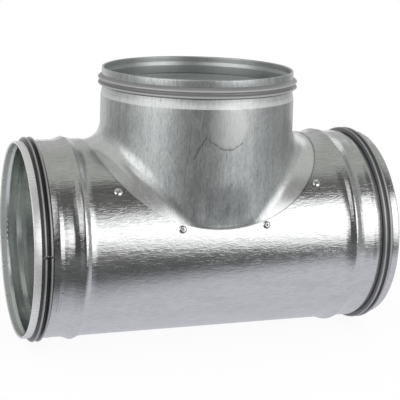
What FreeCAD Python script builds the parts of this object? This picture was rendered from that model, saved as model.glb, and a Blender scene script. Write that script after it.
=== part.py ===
"""Sheet steel ventilation tee, 160 mm size: run tube, pressed saddle branch, three seals and eight rivets.

The run lies along X, the branch rises along Z and the tee stands on the lips of its two run seals.
All sizes are millimetres. Inside each sub-part the run axis is at height zero, and the Placement lifts it.
"""
import FreeCAD, Part
import math
import os

import Sketcher
from FreeCAD import Placement, Rotation, Vector

DRIVING_SIZES = {
    # Tubes
    "run_radius": 79.5,
    "sheet": 0.6,
    "plain_strip": 7.42,
    "spigot_drop": 0.2,
    "neck_draft": 0.3,
    "neck_length": 38.2,
    # Spigot ends, each distance measured back from the mouth
    "rim_band": 5.8,
    "rim_drop": 0.5,
    "fold_gap": 0.6,
    "groove_start": 6.6,
    "groove_reach": 14.4,
    "groove_depth": 2.0,
    "bevel_drop": 1.0,
    "bevel_rise": 0.7,
    "bevel_reach": 21.0,
    # Stop bead of the run
    "bead_reach": 47.1,
    "bead_width": 15.8,
    "bead_foot": 3.4,
    "bead_foot_rise": 0.6,
    "bead_flank": 6.2,
    "bead_height": 2.4,
    "bead_crown": 0.5,
    # Saddle joint, drawn as two concentric circles seen from the front
    "opening_low": 20.0,
    "skirt_overlap": 9.5,
    "seat_gap": 0.15,
    "fillet_radius": 15.8,
    "fillet_clearance": 0.48,
    "tuck_height": 34.0,
    "tuck_rise": 1.2,
    "seam_rise": 3.7,
    "seam_tolerance": 0.002,
    # Seals
    "lip_height": 2.7,
    "lip_first": 8.6,
    "lip_pitch": 4.5,
    "lip_crown": 0.7,
    "lip_depth": 2.5,
    "seal_gap": 0.05,
    "seal_corner_gap": 0.1,
    "seal_flank_gap": 0.2,
    # Blind rivets
    "rivet_shank": 1.6,
    "rivet_clearance": 0.06,
    "rivet_flange": 1.6,
    "rivet_head_edge": 0.3,
    "rivet_head_rise": 1.1,
    "rivet_grip": 1.75,
    "rivet_bulge": 1.0,
    "rivet_bulb_length": 3.4,
    "rivet_wall": 0.65,
    "mandrel_clearance": 0.1,
    "mandrel_flange": 0.6,
    "mandrel_head_length": 1.2,
    "upper_beyond": 5.8,
    "upper_along": 82.4,
    "lower_beyond": 3.7,
    "lower_along": 34.6,
}

DERIVED_SIZES = {
    "spigot_radius": "run_radius - spigot_drop",
    "neck_radius": "spigot_radius + neck_draft",
    "neck_seam": "run_radius + fillet_radius + seam_rise",
    "branch_top": "neck_seam + neck_length",
    "rim_radius": "spigot_radius - rim_drop",
    "groove_radius": "rim_radius - groove_depth",
    "bevel_radius": "spigot_radius - bevel_drop",
    "bead_radius": "run_radius + bead_height",
    "bead_shoulder": "bead_radius - bead_crown",
    "opening_half": "neck_radius + fillet_radius + fillet_clearance",
    "half_run": "opening_half + plain_strip + bead_reach",
    "opening_rise": "run_radius - opening_low",
    "opening_radius": "(opening_half ^ 2 + opening_rise ^ 2) / (2 * opening_rise)",
    "lip_radius": "spigot_radius + lip_height",
    "lip_shoulder": "lip_radius - lip_crown",
    "lip_valley": "lip_radius - lip_depth",
    "rivet_hole": "rivet_shank + rivet_clearance",
    "rivet_head": "rivet_shank + rivet_flange",
    "rivet_bulb": "rivet_shank + rivet_bulge",
    "mandrel_bore": "rivet_shank - rivet_wall",
    "mandrel_radius": "mandrel_bore - mandrel_clearance",
    "mandrel_head": "mandrel_radius + mandrel_flange",
}

ALIASES = [*DRIVING_SIZES, *DERIVED_SIZES]

# Shares that shape the small forms
FOLD_CHORD = math.cos(math.radians(45.0))
LIP_FLAT = 0.4
LIP_ROOT = 2.6
CROWN_ACROSS = 0.55
CROWN_RISE = 0.72
BULB_START = 0.3
BULB_END = 0.7
MANDREL_TAPER = 0.6

doc = FreeCAD.newDocument("duct_tee")


def build_sizes():
    """Write the driving sizes and the formulas that follow from them into a spreadsheet."""
    table = doc.addObject("Spreadsheet::Sheet", "Sizes")
    cells = list(DRIVING_SIZES.items()) + [(alias, f"={words}") for alias, words in DERIVED_SIZES.items()]
    for row, (alias, content) in enumerate(cells, start=1):
        table.set(f"A{row}", alias)
        table.set(f"B{row}", str(content))
        table.setAlias(f"B{row}", alias)
    doc.recompute()
    return table


sizes = build_sizes()


def size(alias):
    """Read one size from the spreadsheet."""
    return float(getattr(sizes, alias))


def bound(words):
    """Turn a formula in bare aliases into one that reads them from the spreadsheet."""
    for alias in sorted(ALIASES, key=len, reverse=True):
        words = words.replace(alias, f"<{ALIASES.index(alias)}>")
    for number, alias in enumerate(ALIASES):
        words = words.replace(f"<{number}>", f"Sizes.{alias}")
    return words


def value_of(words):
    """Work out a formula in bare aliases as a plain number."""
    return float(sizes.evalExpression(bound(words)))


def plane_of(body, role):
    """Find one of a body's own origin planes by its role."""
    return next(part for part in body.Origin.OriginFeatures if part.Role == role)


def draw_outline(body, name, outline):
    """Draw a closed outline whose corners and arcs are all bound to the spreadsheet.

    Each entry is (across, up) for a corner reached by a line, or (across, up, centre, mid across, mid up)
    for a corner reached by an arc through the mid point. All of them are formulas in aliases, and centre is
    the arc's centre along its own rise: a height for a level chord, a distance for an upright one.
    """
    sketch = body.newObject("Sketcher::SketchObject", name)
    sketch.AttachmentSupport = (plane_of(body, "XZ_Plane"), [""])
    sketch.MapMode = "FlatFace"
    corners = [Vector(value_of(entry[0]), value_of(entry[1]), 0) for entry in outline]
    for number, entry in enumerate(outline):
        start, end = corners[number - 1], corners[number]
        if len(entry) == 2:
            sketch.addGeometry(Part.LineSegment(start, end), False)
            continue
        middle = Vector(value_of(entry[3]), value_of(entry[4]), 0)
        sketch.addGeometry(arc_through(start, middle, end), False)
    ends = [end_positions(sketch, number, corners[number]) for number in range(len(outline))]
    for number, entry in enumerate(outline):
        following = (number + 1) % len(outline)
        last, first = ends[number][1], ends[following][0]
        sketch.addConstraint(Sketcher.Constraint("Coincident", number, last, following, first))
        tie_corner(sketch, number, last, entry, corners[number])
        if len(entry) == 5:
            chord = corners[number] - corners[number - 1]
            kind = "DistanceY" if abs(chord.x) > abs(chord.y) else "DistanceX"
            centre = sketch.addConstraint(Sketcher.Constraint(kind, -1, 1, number, 3, value_of(entry[2])))
            sketch.setExpression(f"Constraints[{centre}]", bound(entry[2]))
    return sketch


def arc_through(start, middle, end):
    """Arc through three points, drawn counterclockwise whichever way the outline runs."""
    circle = Part.Arc(start, middle, end).toShape().Curve
    centre = Vector(circle.Center)
    round_the_left = (middle - start).cross(end - middle).z > 0
    first, last = (start, end) if round_the_left else (end, start)
    angles = [math.atan2(point.y - centre.y, point.x - centre.x) for point in (first, last)]
    if angles[1] <= angles[0]:
        angles[1] += 2.0 * math.pi
    return Part.ArcOfCircle(Part.Circle(centre, Vector(0, 0, 1), circle.Radius), *angles)


def end_positions(sketch, number, corner):
    """Say which end of a line or arc is its start and which meets the given corner."""
    from_start, from_end = [sketch.getPoint(number, end).distanceToPoint(corner) for end in (1, 2)]
    return (1, 2) if from_end <= from_start else (2, 1)


def tie_corner(sketch, number, position, entry, corner):
    """Bind a corner's two coordinates to the spreadsheet, or put it on an axis where one is zero."""
    across = ("DistanceX", entry[0], corner.x, -2)
    upward = ("DistanceY", entry[1], corner.y, -1)
    for kind, words, reach, axis in (across, upward):
        if words == "0":
            sketch.addConstraint(Sketcher.Constraint("PointOnObject", number, position, axis))
            continue
        tie = sketch.addConstraint(Sketcher.Constraint(kind, -1, 1, number, position, reach))
        sketch.setExpression(f"Constraints[{tie}]", bound(words))


def revolve(body, name, sketch, axis):
    """Turn a sketch once around one of its own axes."""
    turned = body.newObject("PartDesign::Revolution", name)
    turned.Profile = sketch
    turned.ReferenceAxis = (sketch, [axis])
    turned.Angle = 360.0
    body.Tip = turned
    doc.recompute()
    return turned


def lift(sub_part):
    """Raise a sub-part so that the seal lips under the run touch height zero."""
    sub_part.setExpression("Placement.Base.z", bound("lip_radius"))


def spigot_outline(mouth):
    """Outline of a spigot end from its bevel to the rim fold and back inside.

    The sheet is pressed in for the seal, then folded back over the seal's foot to make the rim. The fold's
    half circle is drawn in short chords. Entries are (distance along the axis, radius).
    """
    fold_mid = "(rim_radius - sheet - fold_gap / 2)"
    fold_outer = "(sheet + fold_gap / 2)"
    layer = "(rim_radius - sheet - fold_gap)"
    chord = f"{fold_outer} * {FOLD_CHORD:.4f}"
    return [
        (f"{mouth} - bevel_reach", "spigot_radius"),
        (f"{mouth} - groove_reach - bevel_rise", "bevel_radius"),
        (f"{mouth} - groove_reach", "groove_radius"),
        (f"{mouth} - groove_start", "groove_radius"),
        (f"{mouth} - groove_start + sheet", layer),
        (f"{mouth} - {fold_outer}", layer),
        (f"{mouth} - sheet", fold_mid),
        (f"{mouth} - {fold_outer}", "rim_radius - sheet"),
        (f"{mouth} - rim_band", "rim_radius - sheet"),
        (f"{mouth} - rim_band", "rim_radius"),
        (f"{mouth} - {fold_outer}", "rim_radius"),
        (f"{mouth} - {fold_outer} + {chord}", f"{fold_mid} + {chord}"),
        (mouth, fold_mid),
        (f"{mouth} - {fold_outer} + {chord}", f"{fold_mid} - {chord}"),
        (f"{mouth} - {fold_outer}", f"{layer} - sheet"),
        (f"{mouth} - groove_start + sheet", f"{layer} - sheet"),
        (f"{mouth} - groove_start", "groove_radius - sheet"),
        (f"{mouth} - groove_reach", "groove_radius - sheet"),
        (f"{mouth} - groove_reach - bevel_rise", "bevel_radius - sheet"),
        (f"{mouth} - bevel_reach", "spigot_radius - sheet"),
    ]


def arc_radius(rise, width):
    """Formula for the radius of an arc from its rise and its width."""
    return f"(({rise}) / 2 + ({width}) ^ 2 / (8 * ({rise})))"


def run_outline():
    """Outline of the right half of the run tube's wall: main tube, stop bead, spigot end, and back inside.

    The bead is a ridge with a narrow round crest and hollow feet.
    """
    near = "half_run - bead_reach"
    far = f"{near} + bead_width"
    middle = f"{near} + bead_width / 2"
    crest = "bead_radius - " + arc_radius("bead_radius - bead_shoulder", "bead_width - 2 * bead_flank")
    foot = "run_radius + bead_foot_rise"
    outer = [
        ("0", "run_radius"),
        (near, "run_radius"),
        (f"{near} + bead_foot", foot),
        (f"{near} + bead_flank", "bead_shoulder"),
        (f"{far} - bead_flank", "bead_shoulder", crest, middle, "bead_radius"),
        (f"{far} - bead_foot", foot),
        (far, "spigot_radius"),
    ]
    inner = [
        (far, "spigot_radius - sheet"),
        (f"{far} - bead_foot", f"{foot} - sheet"),
        (f"{far} - bead_flank", "bead_shoulder - sheet"),
        (f"{near} + bead_flank", "bead_shoulder - sheet", f"{crest} - sheet", middle, "bead_radius - sheet"),
        (f"{near} + bead_foot", f"{foot} - sheet"),
        (near, "run_radius - sheet"),
        ("0", "run_radius - sheet"),
    ]
    return outer + spigot_outline("half_run") + inner


def build_run_wall():
    """The run tube as one rolled and swaged sheet, with the opening for the saddle."""
    body = doc.addObject("PartDesign::Body", "run_wall")
    outline = draw_outline(body, "run_profile", run_outline())
    revolve(body, "right_half", outline, "H_Axis")
    both = body.newObject("PartDesign::Mirrored", "both_halves")
    both.Originals = [body.getObject("right_half")]
    both.MirrorPlane = (plane_of(body, "YZ_Plane"), [""])
    body.Tip = both
    doc.recompute()
    whole = both.Shape.Volume
    circle = body.newObject("Sketcher::SketchObject", "opening_circle")
    circle.AttachmentSupport = (plane_of(body, "XZ_Plane"), [""])
    circle.MapMode = "FlatFace"
    centre = size("opening_low") + size("opening_radius")
    circle.addGeometry(Part.Circle(Vector(0, centre, 0), Vector(0, 0, 1), size("opening_radius")), False)
    circle.addConstraint(Sketcher.Constraint("PointOnObject", 0, 3, -2))
    height = circle.addConstraint(Sketcher.Constraint("DistanceY", -1, 1, 0, 3, centre))
    circle.setExpression(f"Constraints[{height}]", bound("opening_low + opening_radius"))
    radius = circle.addConstraint(Sketcher.Constraint("Radius", 0, size("opening_radius")))
    circle.setExpression(f"Constraints[{radius}]", bound("opening_radius"))
    opening = body.newObject("PartDesign::Pocket", "saddle_opening")
    opening.Profile = circle
    opening.Type = "ThroughAll"
    opening.Midplane = True
    body.Tip = opening
    doc.recompute()
    if opening.Shape.Volume >= whole:
        raise RuntimeError("the saddle opening cut nothing")
    return body


def soft_least(first, second, softness):
    """Smooth minimum of two lengths."""
    return 0.5 * (first + second - math.hypot(first - second, softness))


def ease(share):
    """Smooth step from 0 to 1."""
    share = min(max(share, 0.0), 1.0)
    return share * share * (3.0 - 2.0 * share)


class SaddleForm:
    """The pressed saddle's outer surface: neck wall, rolling ball fillet and skirt.

    A column is a turn around the branch axis, from the run's own direction to straight across it.
    The fillet is the path of a ball that rolls on the neck and on the skirt's cylinder, and the neck
    draws in a little low down at the front, where the skirt has to pass behind the edge of the opening.
    """

    COLUMNS = 18
    WALL_ROWS = 10
    FILLET_ROWS = 6
    SKIRT_ROWS = 4
    HALVINGS = 60
    LEAST_ACROSS = 0.05

    def __init__(self):
        self.skirt_radius = size("run_radius") - size("sheet") - size("seat_gap")
        self.neck_radius = size("neck_radius")
        self.ball = size("fillet_radius")
        self.outline_centre = size("opening_low") + size("opening_radius")
        self.outline_radius = size("opening_radius") + size("skirt_overlap")

    def foot_radius(self, turn):
        """Radius at which the neck wall meets the fillet."""
        tucked = math.sqrt(self.skirt_radius ** 2 - (size("opening_low") + size("tuck_rise")) ** 2)
        across = max(abs(math.sin(turn)), self.LEAST_ACROSS)
        return soft_least(self.neck_radius, tucked / across, size("sheet"))

    def ball_centre(self, turn):
        """Centre of the rolling ball for one column."""
        reach = self.foot_radius(turn) + self.ball
        across = reach * math.sin(turn)
        up = math.sqrt((self.skirt_radius + self.ball) ** 2 - across ** 2)
        return Vector(reach * math.cos(turn), -across, up)

    def wall_point(self, turn, share):
        """Point on the neck wall, from the seam at the top down to the fillet."""
        low = self.ball_centre(turn).z
        height = size("neck_seam") + (low - size("neck_seam")) * share
        drawn = 1.0 - ease((height - low) / min(size("tuck_height"), size("neck_seam") - low))
        radius = self.neck_radius + (self.foot_radius(turn) - self.neck_radius) * drawn
        return Vector(radius * math.cos(turn), -radius * math.sin(turn), height)

    def fillet_point(self, turn, share):
        """Point on the ball between its contact with the neck and its contact with the skirt."""
        centre = self.ball_centre(turn)
        to_neck = Vector(-math.cos(turn), math.sin(turn), 0.0)
        to_skirt = Vector(0.0, -centre.y, -centre.z)
        to_skirt.normalize()
        between = math.acos(min(max(to_neck.dot(to_skirt), -1.0), 1.0))
        first = math.sin((1.0 - share) * between) / math.sin(between)
        second = math.sin(share * between) / math.sin(between)
        return centre + (to_neck * first + to_skirt * second) * self.ball

    def flat_place(self, point):
        """Place of a point of the skirt, rolled out flat: along the run and down from the crown."""
        return point.x, self.skirt_radius * math.atan2(-point.y, point.z)

    def edge_place(self, slope):
        """Rolled out place of the skirt's edge in the direction of one column, found by halving."""
        low, high = 0.0, math.acos((self.outline_centre - self.skirt_radius) / self.outline_radius)
        for _ in range(self.HALVINGS):
            angle = 0.5 * (low + high)
            along = self.outline_radius * math.sin(angle)
            height = self.outline_centre - self.outline_radius * math.cos(angle)
            down = self.skirt_radius * math.acos(min(height / self.skirt_radius, 1.0))
            if math.atan2(down, along) > slope:
                low = angle
            else:
                high = angle
        return along, down

    def skirt_point(self, turn, share):
        """Point on the skirt between the fillet and its edge."""
        start = self.flat_place(self.fillet_point(turn, 1.0))
        end = self.edge_place(math.atan2(start[1], start[0]))
        along = start[0] + (end[0] - start[0]) * share
        around = (start[1] + (end[1] - start[1]) * share) / self.skirt_radius
        return Vector(along, -self.skirt_radius * math.sin(around), self.skirt_radius * math.cos(around))

    def wall_outward(self, turn, share):
        """Outward direction of the neck wall."""
        return Vector(math.cos(turn), -math.sin(turn), 0.0)

    def fillet_outward(self, turn, share):
        """Outward direction of the fillet: towards the ball's centre."""
        return (self.ball_centre(turn) - self.fillet_point(turn, share)) / self.ball

    def skirt_outward(self, turn, share):
        """Outward direction of the skirt: away from the run axis."""
        point = self.skirt_point(turn, share)
        return Vector(0.0, point.y, point.z) / self.skirt_radius

    def stretches(self):
        """List the surface's three stretches from the seam to the skirt's edge, with their counts of rows."""
        return [
            (self.wall_point, self.wall_outward, self.WALL_ROWS),
            (self.fillet_point, self.fillet_outward, self.FILLET_ROWS),
            (self.skirt_point, self.skirt_outward, self.SKIRT_ROWS),
        ]


def curve_through(points, **ends):
    """Cubic curve through points at even parameters, so that equal counts give equal knots."""
    evenly = [number / (len(points) - 1) for number in range(len(points))]
    curve = Part.BSplineCurve()
    curve.interpolate(Points=points, Parameters=evenly, **ends)
    return curve


def square_ends(row):
    """Tangents at a row's two ends, from the mirror symmetry of its points about both planes.

    The slope at a mirror plane is (8 * first neighbour - second neighbour) / 6 steps.
    """
    step = 6.0 / (len(row) - 1)
    return {
        "InitialTangent": Vector(0, (8.0 * row[1].y - row[2].y) / step, 0),
        "FinalTangent": Vector((row[-3].x - 8.0 * row[-2].x) / step, 0, 0),
        "Scale": False,
    }


def surface_through(grid):
    """Surface through a grid of points: a curve through each row, then curves through their poles.

    A row runs from the mirror plane along the run to the one across it, and meets both squarely.
    """
    rows = [curve_through(row, **square_ends(row)) for row in grid]
    columns = [curve_through(list(poles)) for poles in zip(*[row.getPoles() for row in rows])]
    poles = [list(row) for row in zip(*[column.getPoles() for column in columns])]
    across, along = columns[0], rows[0]
    surface = Part.BSplineSurface()
    surface.buildFromPolesMultsKnots(
        poles,
        across.getMultiplicities(),
        along.getMultiplicities(),
        across.getKnots(),
        along.getKnots(),
        False,
        False,
        across.Degree,
        along.Degree,
    )
    return surface


def saddle_skin(form, stretch, depth):
    """Surface of one stretch of a quarter of the saddle, set in from the outer skin by a depth."""
    point_at, outward_at, count = stretch
    turns = [math.radians(90.0) * column / form.COLUMNS for column in range(form.COLUMNS + 1)]
    grid = []
    for share in [row / count for row in range(count + 1)]:
        row = [point_at(turn, share) - outward_at(turn, share) * depth for turn in turns]
        row[0].y = 0.0
        row[-1].x = 0.0
        grid.append(row)
    return surface_through(grid)


def pressed_solid():
    """The pressed part of the saddle as one solid: a quarter of its skins and their mirror images, sewn."""
    form = SaddleForm()
    depths = (0.0, size("sheet"))
    skins = [[saddle_skin(form, stretch, depth) for depth in depths] for stretch in form.stretches()]
    quarter = [skin.toShape() for pair in skins for skin in pair]
    seam = [skin.uIso(skin.bounds()[0]).toShape() for skin in skins[0]]
    edge = [skin.uIso(skin.bounds()[1]).toShape() for skin in skins[-1]]
    quarter += [Part.makeRuledSurface(*seam), Part.makeRuledSurface(*edge)]
    half = quarter + [face.mirror(Vector(0, 0, 0), Vector(1, 0, 0)) for face in quarter]
    whole = half + [face.mirror(Vector(0, 0, 0), Vector(0, 1, 0)) for face in half]
    skin = Part.Compound(whole)
    skin.sewShape()
    solid = Part.Solid(skin.Shells[0])
    if solid.Volume < 0:
        solid.reverse()
    return solid


def build_saddle_whole(branch_end):
    """The whole saddle: its pressed form joined to its round end across the seam of the neck."""
    saddle = doc.addObject("Part::Feature", "saddle_whole")
    saddle.Shape = branch_end.Shape.fuse([pressed_solid()], size("seam_tolerance"))
    return saddle


def build_branch_end():
    """The round upper end of the saddle: neck, bevel, seal groove and folded rim."""
    body = doc.addObject("PartDesign::Body", "branch_end")
    wall = spigot_outline("branch_top")
    outline = [(radius, along) for along, radius in wall]
    foot = [
        ("neck_radius - sheet", "neck_seam"),
        ("neck_radius", "neck_seam"),
    ]
    sketch = draw_outline(body, "branch_profile", foot + outline)
    revolve(body, "branch_turned", sketch, "V_Axis")
    return body


def seal_outline(mouth):
    """Outline of a double lip seal: a foot held in the rim fold, a base in the groove and two blunt lips."""
    layer = "(rim_radius - sheet - fold_gap)"
    first = f"{mouth} - lip_first"
    second = f"{first} - lip_pitch"
    tip = "(lip_pitch / 6)"
    return [
        (f"{mouth} - sheet - fold_gap - seal_gap", f"{layer} + seal_gap"),
        (f"{mouth} - groove_start + sheet", f"{layer} + seal_gap"),
        (f"{mouth} - groove_start - seal_corner_gap", "groove_radius + seal_gap"),
        (f"{mouth} - groove_reach + seal_flank_gap", "groove_radius + seal_gap"),
        (f"{mouth} - groove_reach - seal_flank_gap", "bevel_radius"),
        (f"{second} - 2 * {tip}", "lip_valley"),
        (f"{second} - {tip}", "lip_shoulder"),
        (f"{second} - {LIP_FLAT} * {tip}", "lip_radius"),
        (f"{second} + {LIP_FLAT} * {tip}", "lip_radius"),
        (f"{second} + {tip}", "lip_shoulder"),
        (f"{second} + {LIP_ROOT} * {tip}", "lip_valley"),
        (f"{first} - 2 * {tip}", "lip_valley"),
        (f"{first} - {tip}", "lip_shoulder"),
        (f"{first} - {LIP_FLAT} * {tip}", "lip_radius"),
        (f"{first} + {LIP_FLAT} * {tip}", "lip_radius"),
        (f"{first} + {tip}", "lip_shoulder"),
        (f"{mouth} - rim_band - seal_gap", "rim_radius"),
        (f"{mouth} - rim_band - seal_gap", "rim_radius - sheet - seal_gap"),
        (f"{mouth} - sheet - fold_gap - seal_gap", "rim_radius - sheet - seal_gap"),
    ]


def build_run_seal(name, turned):
    """A seal of the run, drawn at the right end and turned around for the left one."""
    body = doc.addObject("PartDesign::Body", name)
    sketch = draw_outline(body, f"{name}_profile", seal_outline("half_run"))
    revolve(body, f"{name}_ring", sketch, "H_Axis")
    if turned:
        body.Placement.Rotation = Rotation(Vector(0, 0, 1), 180)
    return body


def build_branch_seal():
    """The seal of the branch."""
    body = doc.addObject("PartDesign::Body", "gasket_branch")
    wall = seal_outline("branch_top")
    sketch = draw_outline(body, "gasket_branch_profile", [(radius, along) for along, radius in wall])
    revolve(body, "gasket_branch_ring", sketch, "V_Axis")
    return body


def rivet_places():
    """Name, surface point and outward direction of each rivet, front and back, left and right."""
    centre = size("opening_low") + size("opening_radius")
    places = []
    for level in ("upper", "lower"):
        reach = size("opening_radius") + size(f"{level}_beyond")
        along = size(f"{level}_along")
        height = centre - math.sqrt(reach ** 2 - along ** 2)
        across = math.sqrt(size("run_radius") ** 2 - height ** 2)
        for face, side in (("front", -1), ("back", 1)):
            for hand, way in (("left", -1), ("right", 1)):
                point = Vector(way * along, side * across, height)
                outward = Vector(0, side * across, height).normalize()
                places.append((f"{face}_{hand}_{level}", point, outward))
    return places


def standing_at(point, outward):
    """Placement that stands a piece on the tube with its own Z along the outward direction."""
    return Placement(point, Rotation(Vector(0, 0, 1), outward))


def rivet_outline():
    """Half section of a set blind rivet: domed head, shank, bulb on the blind side and bore."""
    edge = "(seal_gap + rivet_head_edge)"
    crown = f"{edge} + (rivet_head_rise - rivet_head_edge) * {CROWN_RISE}"
    return [
        ("mandrel_bore", "-rivet_grip - rivet_bulb_length"),
        ("mandrel_bore", "seal_gap + rivet_head_rise"),
        (f"mandrel_bore + (rivet_head - mandrel_bore) * {CROWN_ACROSS}", crown),
        ("rivet_head", edge),
        ("rivet_head", "seal_gap"),
        ("rivet_shank", "seal_gap"),
        ("rivet_shank", "-rivet_grip"),
        ("rivet_bulb", f"-rivet_grip - {BULB_START} * rivet_bulb_length"),
        ("rivet_bulb", f"-rivet_grip - {BULB_END} * rivet_bulb_length"),
        ("rivet_shank", "-rivet_grip - rivet_bulb_length"),
    ]


def mandrel_outline():
    """Half section of the broken mandrel left in a rivet: stem and head."""
    foot = "-rivet_grip - rivet_bulb_length - seal_gap"
    return [
        ("0", f"{foot} - mandrel_head_length"),
        ("mandrel_radius", f"{foot} - mandrel_head_length"),
        ("mandrel_head", f"{foot} - {MANDREL_TAPER} * mandrel_head_length"),
        ("mandrel_head", foot),
        ("mandrel_radius", foot),
        ("mandrel_radius", "seal_gap + rivet_head_edge"),
        ("0", "seal_gap + rivet_head_edge"),
    ]


def build_turned_piece(name, outline, placement):
    """A small turned piece, drawn about its own upright axis and set at its place on the tube."""
    body = doc.addObject("PartDesign::Body", name)
    sketch = draw_outline(body, f"{name}_profile", outline)
    revolve(body, f"{name}_turned", sketch, "V_Axis")
    body.Placement = placement
    return body


def build_rivet_drill(places):
    """The holes for all rivets, as one tool that cuts both sheets."""
    pins = []
    for name, point, outward in places:
        pin = doc.addObject("Part::Cylinder", f"drill_{name}")
        pin.setExpression("Radius", bound("rivet_hole"))
        pin.setExpression("Height", bound("4 * rivet_grip"))
        pin.Placement = standing_at(point - outward * 2.0 * size("rivet_grip"), outward)
        pins.append(pin)
    drill = doc.addObject("Part::MultiFuse", "rivet_drill")
    drill.Shapes = pins
    return drill


def cut_from(name, base, tool):
    """Cut a tool out of a base as a named sub-part."""
    cut = doc.addObject("Part::Cut", name)
    cut.Base = base
    cut.Tool = tool
    return cut


def build_group(name, places, outline):
    """One sub-part that holds a like piece at every rivet's place, each a solid of its own."""
    group = doc.addObject("Part::Compound", name)
    group.Links = [
        build_turned_piece(f"{name}_{place}", outline, standing_at(point, outward))
        for place, point, outward in places
    ]
    return group


def build_tee():
    """Make every sub-part of the tee and say how many solids each one holds."""
    places = rivet_places()
    drill = build_rivet_drill(places)
    saddle_whole = build_saddle_whole(build_branch_end())
    single = [
        cut_from("run_tube", build_run_wall(), drill),
        cut_from("branch_saddle", saddle_whole, drill),
        build_run_seal("gasket_left", turned=True),
        build_run_seal("gasket_right", turned=False),
        build_branch_seal(),
    ]
    groups = [
        build_group("rivets", places, rivet_outline()),
        build_group("rivet_mandrels", places, mandrel_outline()),
    ]
    for sub_part in single + groups:
        lift(sub_part)
    return [(sub_part, 1) for sub_part in single] + [(group, len(places)) for group in groups]


def write_parts(sub_parts):
    """Check the whole document, then write each sub-part to its own file."""
    doc.recompute()
    for item in doc.Objects:
        if "Invalid" in item.State or "Error" in item.State:
            raise RuntimeError(f"{item.Name} failed: {item.State}")
    for sub_part, solids in sub_parts:
        sub_part.Label = sub_part.Name
        if sub_part.Shape.isNull() or not sub_part.Shape.isValid():
            raise RuntimeError(f"{sub_part.Name} has no valid shape")
        found = len(sub_part.Shape.Solids)
        if found != solids:
            raise RuntimeError(f"{sub_part.Name} has {found} solids in place of {solids}")
    os.makedirs("parts", exist_ok=True)
    for sub_part, solids in sub_parts:
        sub_part.Shape.exportStep(f"parts/{sub_part.Label}.step")
        print(f"{sub_part.Label}: {solids} solids, {sub_part.Shape.Volume:.0f} cubic mm")


write_parts(build_tee())
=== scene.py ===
"""Looks of a sheet steel ventilation tee: run tube, pressed saddle branch, seals, rivets, studio and camera.

The run lies along X, the branch rises along Z. Sizes held by the classes are millimetres measured from the
crossing of the two axes, and become metres on the floor's own heights where a mesh is made.
"""
import logging
import math
from dataclasses import dataclass, field, replace
from enum import Enum

import bmesh
import bpy
import numpy as np
from mathutils import Matrix, Vector


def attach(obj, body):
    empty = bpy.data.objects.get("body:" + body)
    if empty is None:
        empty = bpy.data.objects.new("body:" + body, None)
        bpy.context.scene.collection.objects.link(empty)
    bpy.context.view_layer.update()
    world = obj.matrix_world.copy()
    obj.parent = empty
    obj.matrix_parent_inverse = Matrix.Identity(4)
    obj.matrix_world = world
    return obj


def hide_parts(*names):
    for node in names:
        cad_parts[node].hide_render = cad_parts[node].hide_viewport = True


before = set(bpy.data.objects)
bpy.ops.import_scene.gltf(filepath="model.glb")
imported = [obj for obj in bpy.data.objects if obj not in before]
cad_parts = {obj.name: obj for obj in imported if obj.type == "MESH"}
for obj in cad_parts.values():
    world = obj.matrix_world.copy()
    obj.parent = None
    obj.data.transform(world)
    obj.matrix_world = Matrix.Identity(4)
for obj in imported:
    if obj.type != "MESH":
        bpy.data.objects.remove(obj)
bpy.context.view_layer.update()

LOG = logging.getLogger("tee")
MM = 0.001
AXIS_HEIGHT = 82.0
TUBE_RADIUS = 79.5
WELD = 1e-6
# Attribute that the finishes read, and the numbers of the Mix node's colour sockets
DEPTH = "depth"
COLOUR_A = 6
COLOUR_B = 7
COLOUR_OUT = 2
SHARP_ANGLE = 38.0
Pair = tuple[float, float]
Triple = tuple[float, float, float]


class Side(Enum):
    """The two ends of the run."""

    LEFT = -1
    RIGHT = 1


# Shader arithmetic


class Signal:
    """A node's output socket that can be used in arithmetic; each operator adds one Math node."""

    def __init__(self, shader: "Shader", socket: bpy.types.NodeSocket | None) -> None:
        """Keep the socket together with the shader that it belongs to."""
        self.shader = shader
        self.socket = socket

    def __add__(self, other: "Signal | float") -> "Signal":
        """Sum, with a number on either side."""
        return self.shader.maths("ADD", self, other)

    __radd__ = __add__

    def __sub__(self, other: "Signal | float") -> "Signal":
        """Difference."""
        return self.shader.maths("SUBTRACT", self, other)

    def __rsub__(self, other: float) -> "Signal":
        """Difference from a number on the left."""
        return self.shader.maths("SUBTRACT", other, self)

    def __mul__(self, other: "Signal | float") -> "Signal":
        """Product, with a number on either side."""
        return self.shader.maths("MULTIPLY", self, other)

    __rmul__ = __mul__

    def __truediv__(self, other: "Signal | float") -> "Signal":
        """Quotient."""
        return self.shader.maths("DIVIDE", self, other)

    def __rtruediv__(self, other: float) -> "Signal":
        """Quotient of a number on the left."""
        return self.shader.maths("DIVIDE", other, self)


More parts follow.
